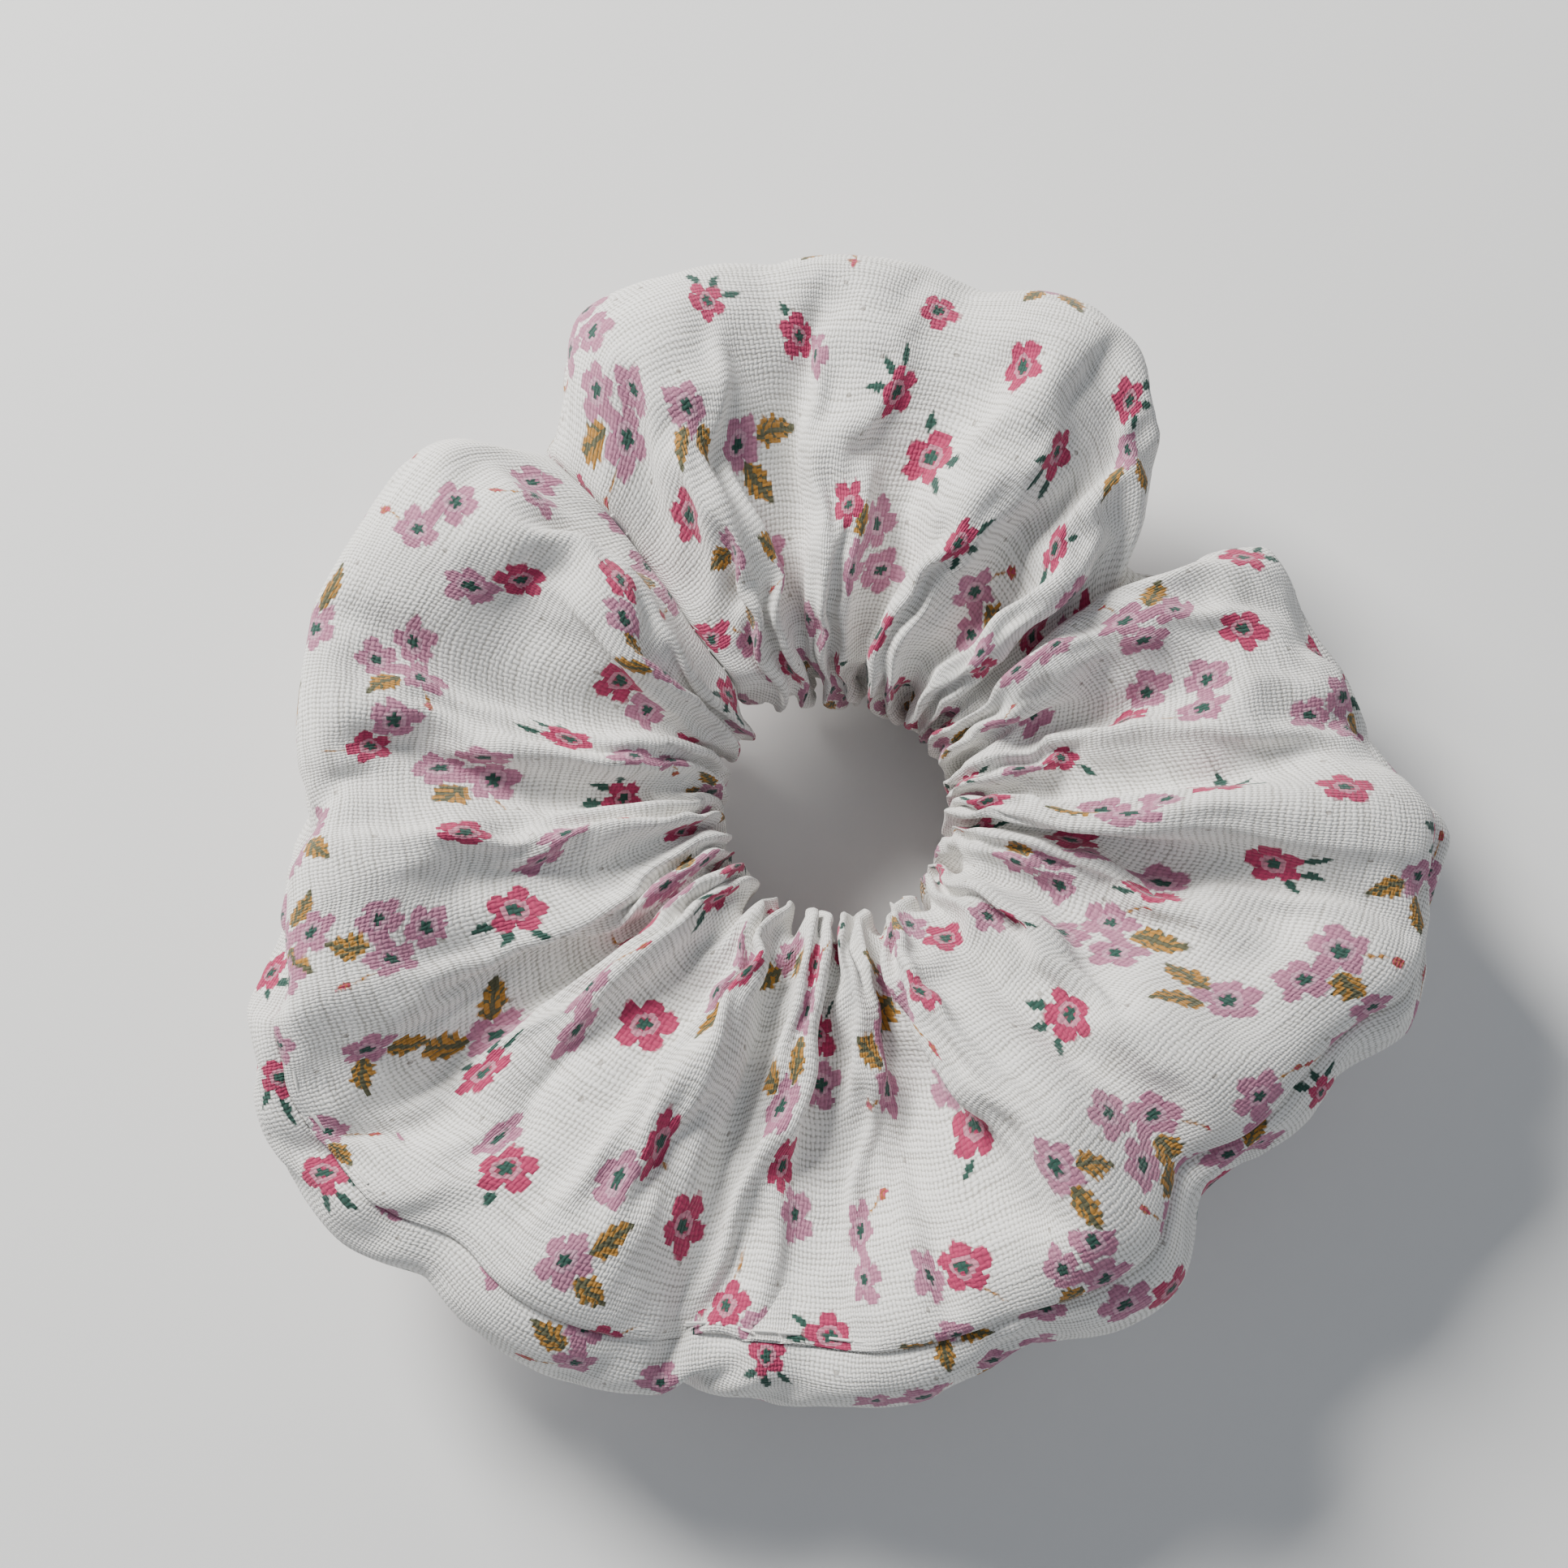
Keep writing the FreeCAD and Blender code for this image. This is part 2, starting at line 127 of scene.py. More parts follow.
def pleated_ring():
    """The tube drawn up on its elastic, every fold in place, before the cloth settles."""
    columns = [np.array(column, float) for column in zip(*FOLDS)]
    rng = np.random.default_rng(7)
    lean = rng.uniform(-5, 5, len(FOLDS))
    bow = rng.uniform(-3, 3, len(FOLDS))
    columns = [np.roll(column, -AFTER_CLOSING_SEAM) for column in (*columns, lean, bow)]
    crest, reach, rise, valley_reach, depth, lean, bow = columns
    crest[crest < crest[0]] += 360
    valley_after = (crest + np.append(crest[1:], crest[0] + 360)) / 2
    valley_before = np.append(valley_after[-1] - 360, valley_after[:-1])
    reach = reach * DRAWN_IN
    valley_reach = valley_reach * DRAWN_IN

    share = (valley_after - valley_before) ** 0.75
    edges = np.concatenate([[0], np.cumsum(share / share.sum())])
    along = (np.arange(ALONG) + 0.5) / ALONG
    fold = np.clip(np.searchsorted(edges, along, side="right") - 1, 0, len(FOLDS) - 1)
    part = (along - edges[fold]) / (edges[fold + 1] - edges[fold])
    fold = fold[:, None]
    part = part[:, None]
    span = (valley_after - valley_before)[fold]
    psi = 2 * np.pi * np.arange(ROUND)[None, :] / ROUND + seam_turn(valley_before[fold] + span * part)
    rim = 0.5 + 0.5 * np.cos(psi)                    # 1 at the rim, 0 at the hole

    crest_r = (reach[fold] + HOLE_RADIUS) / 2 + (reach[fold] - HOLE_RADIUS) / 2 * np.cos(psi)
    crest_z = rise[fold] * np.sin(psi) * (1 - 0.22 * np.cos(psi))
    near_r = np.where(part > 0.5, valley_reach[fold], np.roll(valley_reach, 1)[fold])
    near_depth = np.where(part > 0.5, depth[fold], np.roll(depth, 1)[fold])
    gathers = HOLE_RADIUS + 4.4                      # how near the hole the valleys between folds reach
    valley_r = (near_r + gathers) / 2 + (near_r - gathers) / 2 * np.cos(psi)
    squared = np.sign(np.sin(psi)) * np.abs(np.sin(psi)) ** (0.45 + 0.55 * rim)
    valley_z = squared * (7.0 + (rise[fold] * (0.9 - 0.55 * near_depth) - 7.0) * rim)

    single = np.abs(np.sin(np.pi * part)) ** (1.6 - 0.8 * rim)
    double = np.abs(np.sin(2 * np.pi * part)) ** 0.8
    split = 0.55 * (1 - rim) ** 2                    # each fold parts in two where it is gathered
    bump = (single * (1 - split) + double * split) / (1 - 0.45 * split)
    r = valley_r + (crest_r - valley_r) * bump
    z = valley_z + (crest_z - valley_z) * bump
    crowd = 0.9 - 0.65 * rim
    place = part + crowd / (4 * np.pi) * np.sin(4 * np.pi * part)
    spots = np.arange(-1, len(FOLDS) + 1) + 0.5
    lean_here = np.interp(fold + part, spots, np.concatenate([lean[-1:], lean, lean[:1]]))
    bow_here = np.interp(fold + part, spots, np.concatenate([bow[-1:], bow, bow[:1]]))
    sway = lean_here * (rim - 0.5) + bow_here * np.sin(np.pi * rim)
    sway = sway * np.where(np.sin(psi) > 0, 1, 0.7)
    angle = np.radians(valley_before[fold] + span * place + sway)
    held = np.argmin(np.abs(psi - np.pi), axis=1)
    return np.stack([r * np.cos(angle), r * np.sin(angle), z + MIDDLE], axis=-1), held


def grid_faces(columns, rows, closed):
    """Quads of a grid, facing outwards, which joins up along the ring and round it where it is closed."""
    last = 0 if closed else 1
    i, j = np.meshgrid(np.arange(columns - last), np.arange(rows - last), indexing="ij")
    after = (i + 1) % columns
    above = (j + 1) % rows
    corners = [i * rows + j, after * rows + j, after * rows + above, i * rows + above]
    return np.stack(corners, -1).reshape(-1, 4)


def new_piece(name, points, faces):
    """A mesh object, its points given in metres."""
    mesh = bpy.data.meshes.new(name)
    mesh.from_pydata(np.asarray(points).reshape(-1, 3).tolist(), [], [tuple(face) for face in faces])
    mesh.polygons.foreach_set("use_smooth", [True] * len(mesh.polygons))
    mesh.update()
    piece = bpy.data.objects.new(name, mesh)
    bpy.context.scene.collection.objects.link(piece)
    return piece


def elastic_block():
    """A plain ring a little taller than the elastic, for the cloth to lie round while it settles."""
    room = 1.0                                       # over and under the elastic
    inner = BAND_HIGH.x - BAND_THICKNESS
    outer = -BAND_LOW.x
    low, high = BAND_LOW.z - room, BAND_HIGH.z + room
    section = ((inner, low), (outer, low), (outer, high), (inner, high))
    steps = 72
    points = []
    for angle in np.arange(steps) * 2 * math.pi / steps:
        points += [(r * math.cos(angle), r * math.sin(angle), z) for r, z in section]
    faces = []
    for i in range(steps):
        for j in range(4):
            near, far = 4 * i, 4 * ((i + 1) % steps)
            faces.append((near + j, far + j, far + (j + 1) % 4, near + (j + 1) % 4))
    return np.array(points), faces


def settled(start, held):
    """The pleated ring after its cloth has filled out, wrinkled and come to rest, by cloth simulation."""
    times = 10 * MM                                  # simulated at ten times the size, where the solver is sound
    cloth = new_piece("cloth_settling", start * times, grid_faces(ALONG, ROUND, True))
    gathered = cloth.vertex_groups.new(name="on_the_elastic")
    gathered.add([i * ROUND + int(j) for i, j in enumerate(held)], 1.0, "REPLACE")

    modifier = cloth.modifiers.new("cloth", "CLOTH")
    muslin = modifier.settings
    muslin.shrink_min = -SPARE
    muslin.vertex_group_mass = gathered.name
    muslin.quality = 5
    muslin.mass = 0.02
    muslin.air_damping = 0
    muslin.tension_stiffness = 30
    muslin.compression_stiffness = 30
    muslin.shear_stiffness = 6
    muslin.bending_stiffness = 1.5
    muslin.tension_damping = 5
    muslin.compression_damping = 5
    muslin.shear_damping = 5
    muslin.bending_damping = 0.5
    muslin.use_pressure = True
    muslin.uniform_pressure_force = 16
    muslin.effector_weights.gravity = 0
    touch = modifier.collision_settings
    touch.use_self_collision = True
    touch.self_distance_min = 0.006
    touch.distance_min = 0.004
    touch.collision_quality = 3
    touch.self_friction = 2

    corners = [(-2, -2, 0), (2, -2, 0), (2, 2, 0), (-2, 2, 0)]
    ground = new_piece("ground_settling", corners, [(0, 1, 2, 3)])
    points, faces = elastic_block()
    elastic = new_piece("elastic_settling", points * times, faces)
    for solid in (ground, elastic):
        solid.modifiers.new("collision", "COLLISION")
        solid.collision.thickness_outer = 0.012
        solid.collision.thickness_inner = 0.01
    modifier.point_cache.frame_end = SETTLING_FRAMES
    for moment in range(1, SETTLING_FRAMES + 1):
        bpy.context.scene.frame_set(moment)
    view = bpy.context.evaluated_depsgraph_get()
    points = np.empty(ALONG * ROUND * 3)
    cloth.evaluated_get(view).data.vertices.foreach_get("co", points)
    for helper in (cloth, ground, elastic):
        mesh = helper.data
        bpy.data.objects.remove(helper)
        bpy.data.meshes.remove(mesh)
    bpy.context.scene.frame_set(1)
    return points.reshape(ALONG, ROUND, 3) / times


def unit(vectors):
    """Each vector at length one."""
    return vectors / np.linalg.norm(vectors, axis=-1, keepdims=True)


def smooth_along(values, passes):
    """Values evened out along the ring."""
    for _ in range(passes):
        values = (np.roll(values, 1, axis=0) + 2 * values + np.roll(values, -1, axis=0)) / 4
    return values


def seam_frame(tube):
    """At each step along the long seam: its line, the way into the casing, along it, and across its plies."""
    line = tube[:, 0]
    inward = unit(smooth_along(tube.mean(axis=1) - line, 4))
    forward = unit(np.roll(line, -1, axis=0) - np.roll(line, 1, axis=0))
    inward = unit(inward - forward * (inward * forward).sum(-1, keepdims=True))
    return line, inward, forward, np.cross(forward, inward)


def with_long_seam(tube):
    """The tube opened at its long seam: both allowances turned into the casing, and the seam drawn in."""
    line, inward, forward, across = seam_frame(tube)
    side = np.sign((across * (tube[:, 1] - tube[:, -1])).sum(-1, keepdims=True))
    across = across * np.where(side == 0, 1, side)
    seam = line + SEAM_SINK * inward
    tube = tube.copy()
    for row in (1, -1):
        tube[:, row] += 0.3 * SEAM_SINK * inward
    steps = np.arange(FIN_ROWS, -1, -1) * SEAM_ALLOWANCE / FIN_ROWS
    near = [seam + across * SEAM_GAP / 2 + inward * step for step in steps]
    far = [seam - across * SEAM_GAP / 2 + inward * step for step in steps[::-1]]
    return np.stack(near + [tube[:, j] for j in range(1, ROUND)] + far, axis=1)


def with_end_seam(strip):
    """The strip opened at its ends: their allowances turned into the casing, a little apart."""
    end = strip[0]
    forward = unit(strip[1].mean(axis=0) - strip[-1].mean(axis=0))
    inward = end.mean(axis=0) - end
    depth = np.linalg.norm(inward, axis=-1, keepdims=True)
    inward = inward / depth
    steps = np.arange(FIN_ROWS, -1, -1) * END_ALLOWANCE / FIN_ROWS
    turned = [end + inward * np.minimum(0.5 * SEAM_SINK + step, 0.8 * depth) for step in steps]
    first = [ply + forward * SEAM_GAP / 2 for ply in turned]
    last = [ply - forward * SEAM_GAP / 2 for ply in turned[::-1]]
    return np.stack(first + list(strip[1:]) + last, axis=0)


def places_across(allowance, length, steps):
    """How far each line of the mesh is from the strip's cut edge."""
    turned = np.arange(FIN_ROWS) * allowance / FIN_ROWS
    return np.concatenate([turned, allowance + np.arange(steps + 1) * length / steps,
                           2 * allowance + length - turned[::-1]])


def lay_cloth_maps(piece):
    """Two maps over the strip: one in millimetres along and across it, and one that fills a square."""
    lengths = places_across(END_ALLOWANCE, TUBE_LENGTH, ALONG)
    widths = places_across(SEAM_ALLOWANCE, TUBE_ROUND, ROUND)
    i, j = np.meshgrid(np.arange(len(lengths) - 1), np.arange(len(widths) - 1), indexing="ij")
    second_half = (i.reshape(-1, 1) >= len(lengths) // 2) * 1.0
    i = i.reshape(-1, 1) + np.array([0, 1, 1, 0])
    j = j.reshape(-1, 1) + np.array([0, 0, 1, 1])
    length = lengths[i]
    width = widths[j]
    half = lengths[len(lengths) // 2]
    square_x = (length - second_half * half + 2) / (half + 8)
    square_y = (width + second_half * (STRIP[0] + 4) + 2) / (2 * STRIP[0] + 8)
    for name, x, y in (("cloth", length, width), ("OFBake", square_x, square_y)):
        layer = piece.data.uv_layers.new(name=name)
        layer.data.foreach_set("uv", np.stack([x, y], axis=-1).reshape(-1).astype(np.float32))
    piece.data.uv_layers.active = piece.data.uv_layers["cloth"]


def made_plain(piece):
    """The piece with its modifiers worked into its mesh."""
    bpy.context.view_layer.update()
    finished = piece.evaluated_get(bpy.context.evaluated_depsgraph_get())
    mesh = bpy.data.meshes.new_from_object(finished)
    mesh.name = piece.name
    piece.modifiers.clear()
    piece.data = mesh
    return piece


def gathered_cover():
    """The cover, and the settled tube that its threads are sewn along."""
    tube = settled(*pleated_ring())
    height = tube[..., 2] - MIDDLE                   # brought to its full height, above and below the elastic
    height = np.where(height > 0, height / height.max(), height / -height.min())
    tube[..., 2] = MIDDLE * (1 + height)
    strip = with_end_seam(with_long_seam(tube))
    cover = new_piece("gathered_cover", strip * MM, grid_faces(*strip.shape[:2], False))
    lay_cloth_maps(cover)
    finer = cover.modifiers.new("finer", "SUBSURF")
    finer.levels = 1
    finer.render_levels = 1
    return made_plain(cover), tube


# ---------------------------------------------------------------- elastic and threads

def elastic_line():
    """The elastic's middle line from its near end, once round and on over the lap, and the way out from it."""
    near = BAND_HIGH.x - BAND_THICKNESS / 2
    arcs = (
        (0.0, near, 180, 360),
        (-LAP_STEP / 2, near + LAP_STEP / 2, 0, 180),
        (0.0, near + LAP_STEP, 180, 220),
    )
    points, outward = [], []
    for centre, radius, first, last in arcs:
        for angle in np.radians(np.arange(first, last, 2.0)):
            outward.append((math.cos(angle), math.sin(angle), 0.0))
            points.append((centre + radius * math.cos(angle), radius * math.sin(angle), MIDDLE))
    return np.array(points), np.array(outward)


def elastic_loop():
    """Flat braided elastic, ribbed by its rubber strands, bent to a loop with its ends lapped."""
    points, outward = elastic_line()
    width = BAND_HIGH.z - BAND_LOW.z
    ribs = 8
    heights = np.linspace(-1, 1, 6 * ribs + 1)
    edge = np.sqrt(np.clip(1 - np.abs(heights) ** 12, 0, 1))
    half = BAND_THICKNESS / 2 * edge * (0.82 + 0.18 * np.abs(np.cos(np.pi * ribs / 2 * (heights + 1))))
    outer_face = [(h, t) for h, t in zip(heights, half)]
    inner_face = [(h, -t) for h, t in zip(heights[::-1], half[::-1])]
    section = outer_face + inner_face[1:-1]          # the two faces share their edges
    around = len(section)
    mesh_points = []
    for point, out in zip(points, outward):
        for height, thick in section:
            mesh_points.append(point + out * thick + np.array((0, 0, height * width / 2)))
    faces = []
    for i in range(len(points) - 1):
        for j in range(around):
            k = (j + 1) % around
            faces.append((i * around + j, (i + 1) * around + j, (i + 1) * around + k, i * around + k))
    last = (len(points) - 1) * around
    faces.append(tuple(range(around)))
    faces.append(tuple(last + j for j in range(around))[::-1])
    return new_piece("elastic_loop", np.array(mesh_points) * MM, faces)


def add(tree, kind, inputs=None, **settings):
    """A node with its settings, its inputs being values or the outputs that they are linked from."""
    node = tree.nodes.new(kind)
    for name, value in settings.items():
        setattr(node, name, value)
    for place, value in (inputs or {}).items():
        if isinstance(value, bpy.types.NodeSocket):
            tree.links.new(value, node.inputs[place])
        else:
            node.inputs[place].default_value = value
    return node.outputs


def stitch_tree():
    """Geometry nodes that lay one bent stitch at each pitch along a path, each along its own direction."""
    tree = bpy.data.node_groups.new("stitches_along_a_path", "GeometryNodeTree")
    face = tree.interface
    face.new_socket("Path", in_out="INPUT", socket_type="NodeSocketGeometry")
    for name in ("Pitch", "Length", "Thread"):
        face.new_socket(name, in_out="INPUT", socket_type="NodeSocketFloat")
    face.new_socket("Material", in_out="INPUT", socket_type="NodeSocketMaterial")
    face.new_socket("Stitches", in_out="OUTPUT", socket_type="NodeSocketGeometry")
    given = add(tree, "NodeGroupInput")
    path = add(tree, "GeometryNodeMeshToCurve", {"Mesh": given["Path"]})[0]
    steps = {"Curve": path, "Length": given["Pitch"]}
    spaced = add(tree, "GeometryNodeResampleCurve", steps, mode="LENGTH")[0]

    half = add(tree, "ShaderNodeMath", {0: given["Length"], 1: 0.5}, operation="MULTIPLY")[0]
    back = add(tree, "ShaderNodeMath", {0: given["Length"], 1: -0.5}, operation="MULTIPLY")[0]
    rise = add(tree, "ShaderNodeMath", {0: given["Thread"], 1: 0.6}, operation="MULTIPLY")[0]
    ends = [add(tree, "ShaderNodeCombineXYZ", {"X": end})[0] for end in (back, half)]
    top = add(tree, "ShaderNodeCombineXYZ", {"Z": rise})[0]
    bend = {"Resolution": 5, "Start": ends[0], "Middle": top, "End": ends[1]}
    one = add(tree, "GeometryNodeCurveQuadraticBezier", bend)[0]
    radius = add(tree, "ShaderNodeMath", {0: given["Thread"], 1: 0.5}, operation="MULTIPLY")[0]
    ring = add(tree, "GeometryNodeCurvePrimitiveCircle", {"Resolution": 6, "Radius": radius})[0]
    tube = {"Curve": one, "Profile Curve": ring, "Fill Caps": True}
    stitch = add(tree, "GeometryNodeCurveToMesh", tube)[0]
    stitch = add(tree, "GeometryNodeSetShadeSmooth", {"Geometry": stitch})[0]

    lie = add(tree, "GeometryNodeInputNamedAttribute", {"Name": "lies_along"}, data_type="FLOAT_VECTOR")[0]
    turn = add(tree, "FunctionNodeAlignRotationToVector", {"Vector": lie}, axis="X")[0]
    laid = {"Points": spaced, "Instance": stitch, "Rotation": turn}
    laid = add(tree, "GeometryNodeInstanceOnPoints", laid)[0]
    real = add(tree, "GeometryNodeRealizeInstances", {"Geometry": laid})[0]
    dressed = {"Geometry": real, "Material": given["Material"]}
    dressed = add(tree, "GeometryNodeSetMaterial", dressed)[0]
    add(tree, "NodeGroupOutput", {"Stitches": dressed})
    return tree


def sewn(name, rows, pitch, length, thread, tree):
    """The thread of one seam, from rows of points, directions and whether the row closes on itself."""
    points, directions, edges = [], [], []
    for row, along, closed in rows:
        first = len(points)
        points += row.tolist()
        directions += along.tolist()
        edges += [(first + i, first + i + 1) for i in range(len(row) - 1)]
        if closed:
            edges.append((len(points) - 1, first))
    mesh = bpy.data.meshes.new(name)
    mesh.from_pydata((np.array(points) * MM).tolist(), edges, [])
    lies_along = mesh.attributes.new("lies_along", "FLOAT_VECTOR", "POINT")
    lies_along.data.foreach_set("vector", np.array(directions).reshape(-1).astype(np.float32))
    piece = bpy.data.objects.new(name, mesh)
    bpy.context.scene.collection.objects.link(piece)
    modifier = piece.modifiers.new("stitches", "NODES")
    modifier.node_group = tree
    wanted = {"Pitch": pitch * MM, "Length": length * MM, "Thread": THREAD * MM, "Material": thread}
    for socket in tree.interface.items_tree:
        if socket.name in wanted:
            modifier[socket.identifier] = wanted[socket.name]
    return made_plain(piece)


def long_seam_rows(tube):
    """Needle and bobbin thread of the lockstitch, one on each side of the seam's two plies."""
    line, inward, forward, across = seam_frame(tube)
    beside = SEAM_GAP / 2 + THREAD / 2 + 0.05
    return [(line + LONG_SEAM_INSET * inward + side * beside * across, forward, True) for side in (1, -1)]


def closing_seam_rows(tube):
    """Ladder stitches inside the end seam, each across it."""
    loop = (tube[0] + tube[-1]) / 2
    inward = unit(loop.mean(axis=0) - loop)
    across = unit(tube[0] - tube[-1])
    return [(loop + CLOSING_SEAM_INSET * inward, across, True)]


def bar_tack_rows():
    """Two bar tacks that join the elastic's lapped ends, on its inner and its outer face."""
    clear = THREAD / 2 + 0.05
    inner = BAND_HIGH.x - BAND_THICKNESS - clear
    outer = clear - BAND_LOW.x
    slant = math.radians(12)
    rows = []
    for first in (182.6, 207.0):
        for radius in (inner, outer):
            angles = np.radians(first + TACK_STEP * np.arange(TACK_STITCHES))
            level = np.full(TACK_STITCHES, MIDDLE)
            row = np.stack([radius * np.cos(angles), radius * np.sin(angles), level], axis=-1)
            aside = math.sin(slant)
            upright = np.full(TACK_STITCHES, math.cos(slant))
            lie = np.stack([-aside * np.sin(angles), aside * np.cos(angles), upright], axis=-1)
            rows.append((row, lie, False))
    return rows


# ---------------------------------------------------------------- what each piece is made of

def linear(code):
    """A colour given as an sRGB hex value, as the linear colour that shaders take."""
    parts = [int(code[i:i + 2], 16) / 255 for i in (1, 3, 5)]
    return (*(c / 12.92 if c <= 0.04045 else ((c + 0.055) / 1.055) ** 2.4 for c in parts), 1.0)


ROSE = linear("#BC3562")
ROSE_DEEP = linear("#8E2348")
MAUVE = linear("#BE8199")
MAUVE_DEEP = linear("#9F5B7C")
PALE = linear("#E6C3CF")
FIR = linear("#1F4A3F")
OCHRE = linear("#AD7A2C")
RUST = linear("#A65A35")

# The print, in millimetres about the middle of each spray. Sprays are of several kinds, from 0 to 1, and each
# flower or leaf is in the kinds from its first value to its second.
FLOWERS = (  # kinds, place, turn, petal length, ink, darker ink
    (0.00, 0.50, (-1.5, -0.4), 0.3, 2.55, ROSE, ROSE_DEEP),
    (0.50, 1.00, (-1.5, -0.4), 1.1, 2.6, MAUVE, MAUVE_DEEP),
    (0.66, 0.86, (1.2, -4.0), 2.0, 2.35, MAUVE, MAUVE_DEEP),
    (0.32, 0.86, (3.0, 0.6), 0.7, 2.45, MAUVE, MAUVE_DEEP),
)
LEAVES = (  # kinds, foot, angle, length, width, ink, vein ink
    (0.10, 0.32, (0.2, 1.2), 48, 3.0, 0.21, FIR, FIR),
    (0.10, 0.32, (0.5, -0.3), 8, 2.9, 0.20, FIR, FIR),
    (0.10, 0.26, (0.2, -1.5), -38, 2.7, 0.22, FIR, FIR),
    (0.26, 0.42, (-3.6, 0.6), 140, 2.2, 0.24, FIR, FIR),
    (0.58, 0.86, (0.2, 1.3), 76, 4.9, 0.30, OCHRE, FIR),
    (0.86, 1.00, (0.0, 1.0), 42, 5.0, 0.28, OCHRE, FIR),
    (0.84, 1.00, (0.2, -1.2), -24, 4.8, 0.26, OCHRE, FIR),
    (0.44, 0.80, (-2.6, 1.2), 124, 3.4, 0.07, RUST, OCHRE),
    (0.50, 0.80, (-3.9, 3.2), 112, 2.0, 0.30, RUST, ROSE),
)


def new_group(name, given, made):
    """An empty group of shader nodes, its input and output sockets, and its input node's outputs."""
    tree = bpy.data.node_groups.new(name, "ShaderNodeTree")
    for way, sockets in (("INPUT", given), ("OUTPUT", made)):
        for label, kind in sockets.items():
            tree.interface.new_socket(label, in_out=way, socket_type="NodeSocket" + kind)
    return tree, add(tree, "NodeGroupInput")


def blossom_group():
    """One printed flower: five round petals, streaked between, with a pale ring round a dark eye."""
    given = {"Cloth": "Vector", "Place": "Vector", "Turn": "Float", "Petal": "Float", "Shown": "Float",
             "Ink": "Color", "Deep ink": "Color"}
    tree, flower = new_group("blossom", given, {"Colour": "Color", "Mask": "Float"})
    away = add(tree, "ShaderNodeVectorMath", {0: flower["Cloth"], 1: flower["Place"]}, operation="SUBTRACT")[0]
    far = add(tree, "ShaderNodeVectorMath", {0: away}, operation="LENGTH")[1]
    side = add(tree, "ShaderNodeSeparateXYZ", {0: away})
    angle = add(tree, "ShaderNodeMath", {0: side["Y"], 1: side["X"]}, operation="ARCTAN2")[0]
    turned = add(tree, "ShaderNodeMath", {0: angle, 1: flower["Turn"]}, operation="ADD")[0]
    swing = add(tree, "ShaderNodeMath", {0: turned, 1: 2.5}, operation="MULTIPLY")[0]
    wave = add(tree, "ShaderNodeMath", {0: swing}, operation="COSINE")[0]
    lobe = add(tree, "ShaderNodeMath", {0: wave}, operation="ABSOLUTE")[0]
    round_lobe = add(tree, "ShaderNodeMath", {0: lobe, 1: 0.6}, operation="POWER")[0]
    share = add(tree, "ShaderNodeMath", {0: round_lobe, 1: 0.42, 2: 0.58}, operation="MULTIPLY_ADD")[0]
    brush = add(tree, "ShaderNodeTexNoise", {"Vector": flower["Cloth"], "Scale": 1.1, "Detail": 2.0})[0]
    uneven = add(tree, "ShaderNodeMath", {0: brush, 1: 0.5, 2: 0.75}, operation="MULTIPLY_ADD")[0]
    share = add(tree, "ShaderNodeMath", {0: share, 1: uneven}, operation="MULTIPLY")[0]
    edge = add(tree, "ShaderNodeMath", {0: share, 1: flower["Petal"]}, operation="MULTIPLY")[0]
    inside = add(tree, "ShaderNodeMath", {0: edge, 1: far}, operation="SUBTRACT")[0]
    soft = {0: inside, 1: 5.0, 2: 0.5}
    petals = add(tree, "ShaderNodeMath", soft, operation="MULTIPLY_ADD", use_clamp=True)[0]
    mask = add(tree, "ShaderNodeMath", {0: petals, 1: flower["Shown"]}, operation="MULTIPLY")[0]

    reach = add(tree, "ShaderNodeMath", {0: far, 1: flower["Petal"]}, operation="DIVIDE")[0]
    gap = add(tree, "ShaderNodeMath", {0: 1.0, 1: lobe}, operation="SUBTRACT")[0]
    streak = add(tree, "ShaderNodeMath", {0: gap, 1: 3.0}, operation="POWER")[0]
    brushed = {0: brush, 1: 1.5, 2: -0.45}
    brushed = add(tree, "ShaderNodeMath", brushed, operation="MULTIPLY_ADD", use_clamp=True)[0]
    dark = add(tree, "ShaderNodeMath", {0: streak, 1: brushed}, operation="MAXIMUM")[0]
    petal_ink = {0: dark, 6: flower["Ink"], 7: flower["Deep ink"]}
    petal_ink = add(tree, "ShaderNodeMix", petal_ink, data_type="RGBA")[2]
    ring = add(tree, "ShaderNodeMath", {0: reach, 1: 0.36, 2: 0.09}, operation="COMPARE")[0]
    ring = add(tree, "ShaderNodeMath", {0: ring, 1: 0.35}, operation="MULTIPLY")[0]
    ringed = add(tree, "ShaderNodeMix", {0: ring, 6: petal_ink, 7: PALE}, data_type="RGBA")[2]
    eye = add(tree, "ShaderNodeMath", {0: lobe, 1: 0.14, 2: 0.16}, operation="MULTIPLY_ADD")[0]
    eye = add(tree, "ShaderNodeMath", {0: eye, 1: reach}, operation="SUBTRACT")[0]
    eye = add(tree, "ShaderNodeMath", {0: eye, 1: 14.0, 2: 0.5}, operation="MULTIPLY_ADD", use_clamp=True)[0]
    colour = add(tree, "ShaderNodeMix", {0: eye, 6: ringed, 7: FIR}, data_type="RGBA")[2]
    add(tree, "NodeGroupOutput", {"Colour": colour, "Mask": mask})
    return tree


